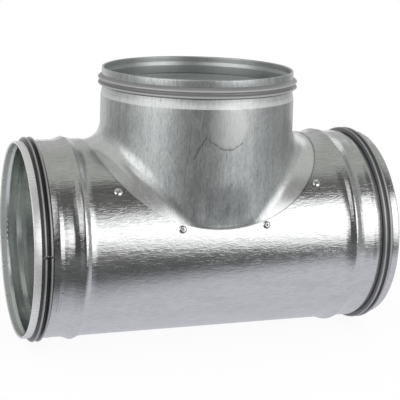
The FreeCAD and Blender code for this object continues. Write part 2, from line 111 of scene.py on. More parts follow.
class Shader:
    """A node tree of a material or of the world, filled through one method for every kind of node."""

    def __init__(self, owner: bpy.types.Material | bpy.types.World) -> None:
        """Empty the owner's node tree and keep it.

        Args:
            owner: Material or world whose nodes are to be made.
        """
        owner.use_nodes = True
        self.output = f"Output{type(owner).__name__}"
        self.tree = owner.node_tree
        self.tree.nodes.clear()

    def add(
        self, kind: str, settings: dict | None = None, inputs: dict | None = None, out: int | str = 0
    ) -> Signal:
        """Add one node.

        Args:
            kind: Type name of the node after its ShaderNode.
            settings: Properties that are set first; "stops" fills a colour ramp.
            inputs: Values or signals by input name or number.
            out: Name or number of the output that is returned.

        Returns:
            The chosen output, or an empty signal for a node that has none.
        """
        made = self.tree.nodes.new(f"ShaderNode{kind}")
        for name, value in (settings or {}).items():
            if name == "stops":
                self.fill_ramp(made.color_ramp, value)
            else:
                setattr(made, name, value)
        for key, value in (inputs or {}).items():
            if isinstance(value, Signal):
                self.tree.links.new(value.socket, made.inputs[key])
            else:
                made.inputs[key].default_value = value
        return Signal(self, made.outputs[out] if len(made.outputs) else None)

    @staticmethod
    def fill_ramp(ramp: bpy.types.ColorRamp, stops: list[Pair]) -> None:
        """Give a colour ramp its stops.

        Args:
            ramp: The ramp to fill.
            stops: Position and grey level of each stop, in order.
        """
        while len(ramp.elements) < len(stops):
            ramp.elements.new(1.0)
        for element, (place, level) in zip(ramp.elements, stops):
            element.position = place
            element.color = (level, level, level, 1.0)

    def maths(self, operation: str, first: Signal | float, second: Signal | float = 0.0) -> Signal:
        """Add a Math node for one or two numbers."""
        return self.add("Math", {"operation": operation}, {0: first, 1: second})

    def length(self, first: Signal, second: Signal) -> Signal:
        """Length of the vector with two parts: the square root of the sum of their squares."""
        return self.maths("SQRT", first * first + second * second)

    def smooth(self, value: Signal, low: float, high: float, start: float = 0.0, end: float = 1.0) -> Signal:
        """Smooth step of a value.

        Args:
            value: What is stepped.
            low: Value at which the step starts.
            high: Value at which it ends.
            start: Result below low.
            end: Result above high.

        Returns:
            The stepped value.
        """
        inputs = {"Value": value, "From Min": low, "From Max": high, "To Min": start, "To Max": end}
        return self.add("MapRange", {"interpolation_type": "SMOOTHSTEP"}, inputs)

    def fall(self, value: Signal, low: float, high: float) -> Signal:
        """Smooth step down: one below low and nought above high."""
        return self.smooth(value, low, high, 1.0, 0.0)

    def band(self, value: Signal, middle: float, half: float, soft: float) -> Signal:
        """One inside a band of values and nought outside it, with soft edges."""
        return self.fall(self.maths("ABSOLUTE", value - middle), half - soft, half + soft)

    def mix(self, factor: Signal | float, first: Signal | tuple, second: Signal | tuple) -> Signal:
        """Mix two colours by the share of the second."""
        pair = [colour if isinstance(colour, Signal) else (*colour, 1.0) for colour in (first, second)]
        inputs = {"Factor": factor, COLOUR_A: pair[0], COLOUR_B: pair[1]}
        return self.add("Mix", {"data_type": "RGBA"}, inputs, out=COLOUR_OUT)

    def place(self, stretch: Triple, shift: Triple = (0, 0, 0)) -> Signal:
        """Object coordinates stretched along each axis, for a pattern with its own scale each way."""
        coordinates = self.add("TexCoord", out="Object")
        inputs = {"Vector": coordinates, "Location": shift, "Scale": stretch}
        return self.add("Mapping", {"vector_type": "POINT"}, inputs)

    def noise(
        self,
        stretch: Triple,
        shift: Triple = (0, 0, 0),
        detail: float = 3.0,
        rough: float = 0.55,
        warp: float = 0.0,
    ) -> Signal:
        """Value noise at stretched and shifted coordinates."""
        inputs = {"Scale": 1.0, "Detail": detail, "Roughness": rough, "Distortion": warp}
        return self.add("TexNoise", None, {"Vector": self.place(stretch, shift), **inputs})

    def cells(self, stretch: Triple, shift: Triple, softness: float = 0.35) -> Signal:
        """Random shade of each crystal cell at stretched and shifted coordinates."""
        inputs = {"Vector": self.place(stretch, shift), "Scale": 1.0, "Smoothness": softness}
        shade = self.add("TexVoronoi", {"feature": "SMOOTH_F1"}, inputs, "Color")
        return self.add("SeparateColor", None, {"Color": shade}, "Red")

    def parts(self, vector: Signal) -> tuple[Signal, Signal, Signal]:
        """The three numbers of a vector."""
        return tuple(self.add("SeparateXYZ", None, {"Vector": vector}, axis) for axis in "XYZ")

    def axes(self) -> tuple[Signal, Signal, Signal]:
        """Millimetres along X, Y and Z from the crossing of the axes, from the Object coordinates."""
        across, deep, up = self.parts(self.add("TexCoord", out="Object"))
        return across / MM, deep / MM, up / MM - AXIS_HEIGHT

    def on_run(self) -> tuple[Signal, Signal]:
        """Millimetres along the run, and round it: angle above the front line times the tube's radius."""
        along, deep, up = self.axes()
        return along, self.maths("ARCTAN2", up, -1.0 * deep) * TUBE_RADIUS

    def on_neck(self) -> tuple[Signal, Signal]:
        """Millimetres round the neck from its front line to the right, and height above the run's axis."""
        across, deep, up = self.axes()
        return self.maths("ARCTAN2", across, -1.0 * deep) * TUBE_RADIUS, up

    def stroke(self, across: Signal, up: Signal, start: Pair, end: Pair, half: float) -> Signal:
        """Mask of a straight stroke: near enough to its line and between its two ends.

        Args:
            across: First coordinate on the surface.
            up: Second coordinate on the surface.
            start: Where the stroke starts.
            end: Where it ends.
            half: Half of its width.

        Returns:
            One on the stroke and nought away from it.
        """
        reach = math.dist(start, end)
        way = ((end[0] - start[0]) / reach, (end[1] - start[1]) / reach)
        first, second = across - start[0], up - start[1]
        along = first * way[0] + second * way[1]
        beside = second * way[0] - first * way[1]
        return self.band(along, reach / 2, reach / 2, half) * self.band(beside, 0.0, half, half)

    def principled(self, colour: Signal, metal: Signal | float, rough: Signal, height: Signal) -> None:
        """Send a principled surface to the output, with a bump from a height in metres."""
        bump = self.add("Bump", None, {"Height": height, "Strength": 1.0, "Distance": 1.0})
        inputs = {"Base Color": colour, "Metallic": metal, "Roughness": rough, "Normal": bump}
        self.finish_surface(self.add("BsdfPrincipled", None, inputs))

    def finish_surface(self, surface: Signal) -> None:
        """Send a shader to the output of the material or the world."""
        self.add(self.output, None, {"Surface": surface})


# Marks on the sheets


class RunMarks:
    """The run's small marks: crown seam, ticks, dent, scratches, dimples and the joint's grime and painted
    shadow.

    Places are millimetres along the run and round it. A look is a darkness and a height in millimetres, and
    the rim's shares say how much paler, coarser and more matt the left rim is than the sheet.
    """

    soft = 0.25
    seam_half = 0.45
    seam_look = (0.30, 0.06)
    bead_ticks = ((-112.5, -109.0), (101.0, 104.5))
    tick_rise = 0.4
    tick_half = 0.8
    tick_look = (0.75, -0.12)
    dent = (-128.3, -22.5)
    dent_core = 0.66
    dent_radius = 1.1
    dent_look = (0.45, -0.10)
    scratches = (((-130.9, -26.0), (-131.4, -41.0)), ((-128.6, -27.0), (-129.4, -40.0)))
    scratch_half = 0.35
    scratch_look = (0.25, -0.03)
    rim_place = 144.6
    rim_soft = 0.3
    rim_wear = (0.6, 0.10, 0.42)
    dimple_place = 143.2
    dimple_half = 0.9
    dimple_soft = 0.2
    dimple_pitch = 4.7
    dimple_height = -10.0
    dimple_reach = 13.5
    dimple_reach_soft = 1.0
    dimple_wave = (0.0, 0.6)
    dimple_behind = (10.0, 20.0)
    dimple_look = (0.6, 0.16)
    # Dark line by the opening's edge: grime with a painted shadow, faint on the left and strong on the right
    joint_height = 127.0
    joint_radius = 107.35
    joint_half = 0.28
    joint_fade = (-40.0, 40.0, 0.15, 0.6)
    joint_look = (1.0, -0.03)

    def masks(self, shader: Shader) -> list[tuple[Signal, Pair]]:
        """Each mark's mask with its look."""
        along, around = shader.on_run()
        _, deep, up = shader.axes()
        crown = around - TUBE_RADIUS * math.pi / 2
        found = [(shader.band(crown, 0.0, self.seam_half, self.soft), self.seam_look)]
        for first, last in self.bead_ticks:
            ends = (first, -self.tick_rise), (last, self.tick_rise)
            found.append((shader.stroke(along, crown, *ends, self.tick_half), self.tick_look))
        spot = shader.length(along - self.dent[0], around - self.dent[1])
        found.append((shader.fall(spot, self.dent_core, self.dent_radius), self.dent_look))
        for ends in self.scratches:
            found.append((shader.stroke(along, around, *ends, self.scratch_half), self.scratch_look))
        apart = shader.maths("ABSOLUTE", along)
        row = shader.band(apart, self.dimple_place, self.dimple_half, self.dimple_soft)
        behind = shader.smooth(deep, *self.dimple_behind)
        held = shader.band(up, self.dimple_height, self.dimple_reach, self.dimple_reach_soft) * behind
        wave = shader.maths("SINE", up * (2 * math.pi / self.dimple_pitch))
        found.append((row * held * shader.smooth(wave, *self.dimple_wave), self.dimple_look))
        # Painted shadow with grime along the opening's edge, fading towards the left end
        away = shader.length(along, up - self.joint_height)
        line = shader.band(away, self.joint_radius, self.joint_half, self.soft)
        found.append((line * shader.smooth(along, *self.joint_fade), self.joint_look))
        return found

    def wear(self, shader: Shader) -> tuple[Signal, Signal, Signal]:
        """Shares by which the worn left rim is paler, coarser and more matt than the sheet."""
        along, _ = shader.on_run()
        rim = shader.fall(along, -self.rim_place - self.rim_soft, -self.rim_place + self.rim_soft)
        return tuple(rim * share for share in self.rim_wear)


class SaddleMarks:
    """The saddle's small marks: scratch, notched line under a painted highlight, ticks and the joint's
    painted shade.

    Places are millimetres round the neck and above the run's axis. Each stroke has its two ends, half width
    and look: a darkness and a height in millimetres. The ring's and the flare's shares say how much paler,
    coarser and more matt each zone is than the sheet; the ring's paleness is partly a painted highlight.
    """

    notch = ((-15.0, 89.8), (-4.5, 83.4), (2.5, 83.2), (12.0, 88.6))
    strokes = (
        (((-18.2, 93.3), (-27.6, 76.0)), 0.45, (0.7, -0.03)),
        *((ends, 0.5, (0.75, -0.03)) for ends in zip(notch, notch[1:])),
        (((-54.6, 121.3), (-54.5, 114.4)), 0.4, (0.6, -0.04)),
        (((-49.4, 124.2), (-49.0, 123.4)), 0.4, (0.6, -0.04)),
    )
    front = (-30.0, -20.0)
    grain = (330.0, 330.0, 330.0)
    gaps = (0.34, 0.50)
    joint_height = 127.0
    # Painted shade on the saddle at the joint's lowest part, in front and behind
    edge_start = 104.4
    edge_full = 106.0
    edge_reach = (18.0, 34.0)
    edge_look = (0.8, 0.0)
    # Painted highlight: a paler patch on the neck's front above the notched line
    patch_centre = (-0.8, 101.3)
    patch_core = 13.5
    patch_radius = 18.5
    patch_pale = 0.45
    # The rolled cone under the seal: matt, with a painted highlight strongest on its lower part
    ring_low = 114.5
    ring_height = 7.2
    ring_soft = 0.3
    ring_step = 117.8
    ring_step_half = 0.5
    ring_foot = 0.6
    ring_wear = (0.4, 0.10, 0.39)
    flare_start = 79.6
    flare_full = 84.0
    flare_wear = (0.6, -0.14, 0.18)

    def masks(self, shader: Shader) -> list[tuple[Signal, Pair]]:
        """Each mark's mask with its look."""
        around, up = shader.on_neck()
        across, deep, _ = shader.axes()
        broken = shader.smooth(shader.noise(self.grain, detail=1.0), *self.gaps)
        shown = broken * shader.fall(deep, *self.front)
        found = []
        for ends, half, look in self.strokes:
            found.append((shader.stroke(around, up, *ends, half) * shown, look))
        # Painted shade: the saddle darkens beyond the joint's circle where it lies lowest
        away = shader.length(across, up - self.joint_height)
        lowest = shader.fall(shader.maths("ABSOLUTE", across), *self.edge_reach)
        found.append((shader.smooth(away, self.edge_start, self.edge_full) * lowest, self.edge_look))
        return found

    def wear(self, shader: Shader) -> tuple[Signal, Signal, Signal]:
        """Shares by which ring and flare are paler, coarser and more matt than the sheet; the paleness also
        holds the painted highlights of ring and patch.
        """
        ring, flare = self.ring(shader), self.flare(shader)
        pale, coarser, matt = (ring * one + flare * two for one, two in zip(self.ring_wear, self.flare_wear))
        # The patch's paleness is a painted highlight
        return pale + self.patch(shader) * self.patch_pale, coarser, matt

    def patch(self, shader: Shader) -> Signal:
        """Mask of the painted highlight patch above the notched line."""
        around, up = shader.on_neck()
        _, deep, _ = shader.axes()
        away = shader.length(around - self.patch_centre[0], up - self.patch_centre[1])
        return shader.fall(away, self.patch_core, self.patch_radius) * shader.fall(deep, *self.front)

    def ring(self, shader: Shader) -> Signal:
        """Mask of the rolled cone between the neck and the seal, which is matt and paler with a painted
        highlight.
        """
        _, _, up = shader.axes()
        half = self.ring_height / 2
        low, high = self.ring_step - self.ring_step_half, self.ring_step + self.ring_step_half
        step = shader.smooth(up, low, high, 1.0, self.ring_foot)
        return shader.band(up, self.ring_low + half, half, self.ring_soft) * step

    def flare(self, shader: Shader) -> Signal:
        """Mask of the fillet and the skirt, which the press leaves more matt than the neck."""
        across, deep, _ = shader.axes()
        return shader.smooth(shader.length(across, deep), self.flare_start, self.flare_full)


# Finishes


@dataclass(frozen=True)
class Galvanised:
    """Zinc coated sheet: rolled streaks, crystal cells and fine brushing, all along one direction.

    The stretches are cycles a metre along X, Y and Z, so a small figure draws a pattern out that way. Depths
    are millimetres. The blend holds the shares of cells, streaks, broad streaks and brushing in the shade.
    """

    FLECKS = (0.66, 0.74)
    PITS = (0.28, 0.37)
    WISPS = (0.46, 0.60)
    FLECK_SHARE = 0.12
    INNER_SHARE = 0.75
    WISP_STRETCH = 0.8
    BROAD_STRETCH = 0.2
    STREAK_ROUGH = 0.08
    CELL_ROUGH = 0.05
    LIGHTER = 1.125
    LIGHTEST = 0.95

    name: str
    tint: Triple
    shade: Triple
    streak: Triple
    cell: Triple
    speck: Triple
    roughness: float
    streak_depth: float
    speck_depth: float
    wisp_depth: float = 0.0
    brush: Triple = (400.0, 400.0, 400.0)
    blend: tuple[float, float, float, float] = (0.25, 0.15, 0.2, 0.4)
    spread: float = 0.15
    score: Triple = (60.0, 700.0, 700.0)
    score_depth: float = 0.1
    stain: Triple = (0.16, 0.16, 0.15)
    # Colour of the inner faces: a greener tone, darker on the saddle as painted shade inside the branch
    inner_tint: Triple = (0.74, 0.775, 0.755)
    # Paler colour for worn zones and for the saddle's painted highlights
    pale: Triple = (0.90, 0.90, 0.89)
    metal: float = 1.0
    pit_depth: float = 0.08
    marks: RunMarks | SaddleMarks | None = None

    def build(self) -> bpy.types.Material:
        """Make the material.

        Returns:
            The finished material.
        """
        material = bpy.data.materials.new(self.name)
        shader = Shader(material)
        streaks = shader.noise(self.streak, warp=0.9)
        wisps = shader.noise(self.drawn_out(self.WISP_STRETCH), (0.6, 0.8, 0.1), detail=2.0, warp=1.4)
        broad = shader.noise(self.drawn_out(self.BROAD_STRETCH), (0.3, 0.1, 0.7), detail=2.0)
        specks = shader.noise(self.speck, (1.1, 0.4, 0.2), detail=1.0, rough=0.6)
        cells = shader.cells(self.cell, (0.5, 0.2, 0.9))
        fine = shader.noise(self.brush, (0.2, 0.9, 0.4), detail=2.0, rough=0.7)
        scores = shader.noise(self.score, (0.7, 0.3, 0.6), detail=1.0)
        mottle = sum(part * share for part, share in zip((cells, streaks, broad, fine), self.blend))
        level = shader.smooth(mottle, 0.5 - self.spread, 0.5 + self.spread)
        colour = shader.mix(level, self.shade, self.tint)
        colour = shader.mix(shader.smooth(specks, *self.FLECKS) * self.FLECK_SHARE, colour, self.fleck())
        colour = shader.mix(shader.fall(specks, *self.PITS) * self.pit_depth, colour, self.stain)
        colour = shader.mix(shader.smooth(scores, *self.FLECKS) * self.score_depth, colour, self.stain)
        rough = self.roughness + (streaks - 0.5) * self.STREAK_ROUGH + (cells - 0.5) * self.CELL_ROUGH
        height = streaks * (self.streak_depth * MM) + specks * (self.speck_depth * MM)
        height = height + shader.smooth(wisps, *self.WISPS) * (self.wisp_depth * MM)
        metal = self.metal
        if self.marks:
            for mask, (darkness, rise) in self.marks.masks(shader):
                colour = shader.mix(mask * darkness, colour, self.stain)
                height = height + mask * (rise * MM)
            # Paler, coarser and more matt zones: worn zinc, and on the saddle painted highlights too
            pale, coarser, matt = self.marks.wear(shader)
            colour = shader.mix(pale, colour, self.pale)
            rough = rough + coarser
            metal = self.metal - matt
            # Inner faces take the inner colour: a greener tone with painted shade inside the branch
            inside = shader.add("Attribute", {"attribute_name": DEPTH}, out="Fac")
            colour = shader.mix(inside * self.INNER_SHARE, colour, self.inner_tint)
        shader.principled(colour, metal, rough, height)
        return material

    def drawn_out(self, share: float) -> Triple:
        """A share of the streaks' own stretches."""
        return tuple(share * way for way in self.streak)

    def fleck(self) -> Triple:
        """Colour of the bright flecks: an eighth lighter than the tint."""
        return tuple(min(self.LIGHTER * part, self.LIGHTEST) for part in self.tint)


@dataclass(frozen=True)
class Rubber:
    """Moulded seal rubber: pale on its crests and darker in its grooves by painted shade, with a faint grain.

    The splice is a ragged cut across the left seal, at a place in millimetres round the tube.
    """

    SPLICE_HALF = 0.9
    SPLICE_SOFT = 0.4
    SPLICE_ALONG = (-125.0, -120.0)
    SPLICE_PALE = (0.75, 0.75, 0.75)
    SPLICE_DARK = (0.01, 0.01, 0.01)
    SPLICE_HEIGHT = 0.3
    RAGGED = (0.52, 0.62)
    CLOUD = (60.0, 60.0, 60.0)
    CLOUD_DUST = 0.25
    CLOUD_ROUGH = 0.15
    DUST = (0.05, 0.50)
    GRAIN = (900.0, 900.0, 900.0)
    GRAIN_HEIGHT = 0.02

    name: str
    crest: Triple
    groove: Triple
    roughness: float
    sheen: float = 0.55
    splice: float = 7.0

    def build(self) -> bpy.types.Material:
        """Make the material.

        Returns:
            The finished material.
        """
        material = bpy.data.materials.new(self.name)
        shader = Shader(material)
        depth = shader.add("Attribute", {"attribute_name": DEPTH}, out="Fac")
        cloud = shader.noise(self.CLOUD)
        grain = shader.noise(self.GRAIN, detail=2.0)
        # Painted shade: the colour goes from crest to groove as a point lies deeper between the lips, spread
        # by a cloud
        groove_shade = shader.smooth(depth + (cloud - 0.5) * self.CLOUD_DUST, *self.DUST)
        along, around = shader.on_run()
        cut = shader.band(around, self.splice, self.SPLICE_HALF, self.SPLICE_SOFT)
        cut = cut * shader.fall(along, *self.SPLICE_ALONG)
        ragged = cut * shader.smooth(grain, *self.RAGGED)
        colour = shader.mix(groove_shade, self.crest, self.groove)
        colour = shader.mix(ragged, colour, self.SPLICE_PALE)
        colour = shader.mix(cut - ragged, colour, self.SPLICE_DARK)
        rough = self.roughness + (cloud - 0.5) * self.CLOUD_ROUGH
        height = grain * (self.GRAIN_HEIGHT * MM) + ragged * (self.SPLICE_HEIGHT * MM)
        shader.principled(colour, self.sheen, rough, height)
        return material


# Outlines and grids


def rounded(points: list[Triple], steps: int = 4) -> np.ndarray:
    """Open outline with softened corners: each corner becomes a quadratic curve between its two trim points.

    Args:
        points: Two coordinates and the trim distance of each corner.
        steps: Pieces of each softened corner.

    Returns:
        Array of points, two coordinates each.
    """
    table = np.array(points, dtype=float)
    corners, trims = table[:, :2], table[:, 2]
    share = np.linspace(0.0, 1.0, steps + 1)[:, None]
    pieces = []
    for number, (corner, trim) in enumerate(zip(corners, trims)):
        if trim <= 0.0 or number in (0, len(corners) - 1):
            pieces.append(corner[None])
            continue
        before, after = corners[number - 1] - corner, corners[number + 1] - corner
        first = corner + before / np.linalg.norm(before) * trim
        last = corner + after / np.linalg.norm(after) * trim
        pieces.append((1 - share) ** 2 * first + 2 * share * (1 - share) * corner + share ** 2 * last)
    return np.concatenate(pieces)


def quads(rows: int, columns: int, close_rows: bool = False) -> np.ndarray:
    """Corner numbers of a grid's faces, with the last column joined to the first.

    Args:
        rows: Points along the first direction.
        columns: Points along the second direction.
        close_rows: Whether the last row joins the first too.

    Returns:
        Array of faces, four corners each.
    """
    count = rows if close_rows else rows - 1
    row, column = np.meshgrid(np.arange(count), np.arange(columns), indexing="ij")
    here, below, beside = row * columns, (row + 1) % rows * columns, (column + 1) % columns
    return np.stack([here + column, here + beside, below + beside, below + column], -1).reshape(-1, 4)


def lathe(outline: np.ndarray, turns: int) -> np.ndarray:
    """Grid of points: an outline of (along, radius) turned around the first axis, (along, r cos, r sin)."""
    angle = np.linspace(0.0, 2.0 * np.pi, turns, endpoint=False)
    along = np.repeat(outline[:, :1], turns, axis=1)
    return np.stack([along, outline[:, 1:] * np.cos(angle), outline[:, 1:] * np.sin(angle)], -1)


def add_object(name: str, data: bpy.types.ID) -> bpy.types.Object:
    """Make an object and link it to the scene."""
    made = bpy.data.objects.new(name, data)
    bpy.context.scene.collection.objects.link(made)
    return made


def make_piece(
    name: str,
    points: np.ndarray,
    faces: np.ndarray,
    material: bpy.types.Material,
    nodes: list[str],
    slot: str,
    depth: np.ndarray | None = None,
) -> bpy.types.Object:
    """Make one closed piece that stands for CAD nodes, welded, smooth shaded and with its faces outwards.

    Args:
        name: Name of the piece.
        points: Points in metres.
        faces: Corner numbers of its four sided faces.
        material: Finish.
        nodes: CAD nodes that it stands for.
        slot: Not used.
        depth: From nought to one, how deep a seal's point lies, or one where a sheet's point is inside.

    Returns:
        The object.
    """
    mesh = bpy.data.meshes.new(name)
    flat = points.reshape(-1, 3)
    mesh.vertices.add(len(flat))
    mesh.vertices.foreach_set("co", flat.astype(np.float32).ravel())
    mesh.loops.add(faces.size)
    mesh.loops.foreach_set("vertex_index", faces.astype(np.int32).ravel())
    mesh.polygons.add(len(faces))
    mesh.polygons.foreach_set("loop_start", np.arange(0, faces.size, faces.shape[1], dtype=np.int32))
    mesh.update(calc_edges=True)
    mesh.validate()
    if depth is not None:
        layer = mesh.attributes.new(DEPTH, "FLOAT", "POINT")
        layer.data.foreach_set("value", depth.astype(np.float32).ravel())
    weld_and_turn(mesh)
    mesh.polygons.foreach_set("use_smooth", np.ones(len(mesh.polygons), dtype=bool))
    mesh.set_sharp_from_angle(angle=math.radians(SHARP_ANGLE))
    mesh.materials.append(material)
    piece = add_object(name, mesh)
    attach(piece, "root")
    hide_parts(*nodes)
    LOG.info("%s: %d faces", name, len(mesh.polygons))
    return piece


def weld_and_turn(mesh: bpy.types.Mesh) -> None:
    """Merge a mesh's doubled points and turn its faces outwards."""
    work = bmesh.new()
    work.from_mesh(mesh)
    bmesh.ops.remove_doubles(work, verts=work.verts, dist=WELD)
    bmesh.ops.recalc_face_normals(work, faces=work.faces)
    work.to_mesh(mesh)
    work.free()


def inner_rows(along: np.ndarray, columns: int) -> np.ndarray:
    """Depth values of a closed sheet's grid: nought up to the row at the mouth and one on the rows behind it.

    Args:
        along: Distance of each row towards the mouth.
        columns: Points in a row.

    Returns:
        One value for each point of the grid.
    """
    behind = np.arange(len(along)) > np.argmax(along)
    return np.repeat(behind[:, None], columns, axis=1).astype(float)


def lifted(points: np.ndarray) -> np.ndarray:
    """Millimetres from the crossing of the axes to metres above the floor."""
    return (points + np.array([0.0, 0.0, AXIS_HEIGHT])) * MM


# Sub-assemblies


@dataclass(frozen=True)
class Spigot:
    """A spigot end, pressed in for the seal and folded back over it, with distances back from the mouth."""

    radius: float = 79.3
    sheet: float = 0.6
    rim_radius: float = 78.8
    rim_band: float = 5.8
    fold_gap: float = 0.6
    groove_start: float = 6.6
    groove_reach: float = 14.4
    groove_radius: float = 76.8
    bevel_radius: float = 78.3
    bevel_rise: float = 0.7
    ridge_top: float = 19.8
    ridge_rise: float = 0.22
    ridge_foot: float = 23.0
    ridge_dip: float = 0.08
    ridge_lead: float = 3.0
    inner_ramp: float = 1.1

    def outline(self, mouth: float) -> list[Triple]:
        """Outline from the cone's foot outside, round the rim, to the cone's foot inside.

        Args:
            mouth: Distance of the mouth along the tube.

        Returns:
            Distance along, radius and corner trim of each point.
        """
        under = self.rim_radius - self.sheet
        layer = under - self.fold_gap
        middle = under - self.fold_gap / 2
        fold = self.sheet + self.fold_gap / 2
        turn = fold * math.cos(math.pi / 4)
        start = mouth - self.groove_start
        cone = [
            (mouth - self.ridge_foot - self.ridge_lead, self.radius, 0.8),
            (mouth - self.ridge_foot, self.radius - self.ridge_dip, 0.5),
            (mouth - self.ridge_top, self.radius + self.ridge_rise, 0.5),
            (mouth - self.groove_reach - self.bevel_rise, self.bevel_radius, 0.25),
            (mouth - self.groove_reach, self.groove_radius, 0.25),
        ]
        rim = [
            (start, self.groove_radius, 0.25),
            (start + self.sheet, layer, 0.2),
            (mouth - fold, layer, 0.1),
            (mouth - self.sheet, middle, 0.1),
            (mouth - fold, under, 0.1),
            (mouth - self.rim_band, under, 0.1),
            (mouth - self.rim_band, self.rim_radius, 0.12),
            (mouth - fold, self.rim_radius, 0.2),
            (mouth - fold + turn, middle + turn, 0.2),
            (mouth, middle, 0.2),
            (mouth - fold + turn, middle - turn, 0.2),
            (mouth - fold, layer - self.sheet, 0.2),
            (start + self.sheet + self.inner_ramp, layer - self.sheet, 0.5),
            (start - self.inner_ramp, self.groove_radius - self.sheet, 0.5),
        ]
        return cone + rim + [(along, radius - self.sheet, trim) for along, radius, trim in cone[::-1]]


@dataclass(frozen=True)
class SaddleJoint:
    """The joint between run and saddle: two concentric circles as seen from the front."""

    low: float = 20.0
    radius: float = 107.0
    overlap: float = 9.5

    @property
    def centre(self) -> float:
        """Height of the circles' centre above the run axis."""
        return self.low + self.radius


@dataclass
class RunTube:
    """The run: one rolled sheet with a stop bead near each end and an opening for the saddle."""

    finish: bpy.types.Material
    joint: SaddleJoint = field(default_factory=SaddleJoint)
    spigot: Spigot = field(default_factory=Spigot)
    half_length: float = 150.4
    radius: float = 79.5
    sheet: float = 0.6
    bead_start: float = 103.3
    bead_width: float = 15.8
    bead_foot: float = 3.4
    bead_foot_rise: float = 0.6
    bead_flank: float = 6.2
    bead_radius: float = 81.9
    bead_shoulder: float = 81.4
    plain_end: float = 99.0
    edge_rows: int = 9
    opening_columns: int = 64
    lower_columns: int = 100

    def end_outline(self) -> np.ndarray:
        """Closed end's outline of (along, radius): outside from the plain tube to the mouth, then back."""
        far = self.bead_start + self.bead_width
        middle = self.bead_start + self.bead_width / 2
        foot = self.radius + self.bead_foot_rise
        outer = [
            (self.plain_end, self.radius, 0.0),
            (self.bead_start, self.radius, 1.6),
            (self.bead_start + self.bead_foot, foot, 0.5),
            (self.bead_start + self.bead_flank, self.bead_shoulder, 0.35),
            (middle, self.bead_radius, 0.7),
            (far - self.bead_flank, self.bead_shoulder, 0.35),
            (far - self.bead_foot, foot, 0.5),
            (far, self.spigot.radius, 1.2),
        ]
        inner = [(along, radius - self.sheet, trim) for along, radius, trim in outer[::-1]]
        return rounded(outer + self.spigot.outline(self.half_length) + inner)

    def columns(self) -> tuple[np.ndarray, np.ndarray]:
        """Angles from the crown and the opening's half width at each, all the way round.

        On the joint's circle a point is (radius sin, centre - radius cos), and its angle round the tube has
        the cosine height / tube radius.

        Returns:
            The angles in radians and the half widths in millimetres.
        """
        last = math.acos((self.joint.centre - self.radius) / self.joint.radius)
        around = np.linspace(last, 0.0, self.opening_columns)
        height = self.joint.centre - self.joint.radius * np.cos(around)
        front = np.arccos(np.clip(height / self.radius, -1.0, 1.0))
        wide = self.joint.radius * np.sin(around)
        below = np.linspace(front[-1], 2 * np.pi - front[-1], self.lower_columns + 2)[1:-1]
        angle = np.concatenate([front, below, 2 * np.pi - front[:0:-1]])
        return angle, np.concatenate([wide, np.zeros(len(below)), wide[:0:-1]])

    def half_grid(self, side: Side) -> np.ndarray:
        """Grid of one half: rows along the outline, columns round the tube.

        Args:
            side: Which half.

        Returns:
            Array of rows, columns and three coordinates.
        """
        angle, wide = self.columns()
        share = np.linspace(0.0, 1.0, self.edge_rows, endpoint=False)[:, None]
        edge = wide + (self.plain_end - wide) * share
        end = np.repeat(self.end_outline()[:, :, None], len(angle), axis=2)
        along = np.concatenate([edge, end[:, 0], edge[::-1]])
        outside = np.full_like(edge, self.radius)
        radius = np.concatenate([outside, end[:, 1], outside - self.sheet])
        return np.stack([side.value * along, -radius * np.sin(angle), radius * np.cos(angle)], -1)

    def build(self) -> bpy.types.Object:
        """Make the run tube from its two halves and the strips of cut edge round the opening."""
        _, wide = self.columns()
        grids = [self.half_grid(side) for side in Side]
        rows, count = grids[0].shape[:2]
        skin = quads(rows, count)
        column = np.arange(count)
        beside = (column + 1) % count
        cut = (wide > 0) | (wide[beside] > 0)
        last = (rows - 1) * count
        strip = np.stack([column, beside, last + beside, last + column], -1)[cut]
        half = np.concatenate([skin, strip])
        faces = np.concatenate([half, half + rows * count])
        points = lifted(np.concatenate([grid.reshape(-1, 3) for grid in grids]))
        inner = np.concatenate([inner_rows(np.abs(grid[:, 0, 0]), count) for grid in grids])
        return make_piece("run_tube_sheet", points, faces, self.finish, ["run_tube"], "run_tube", inner)


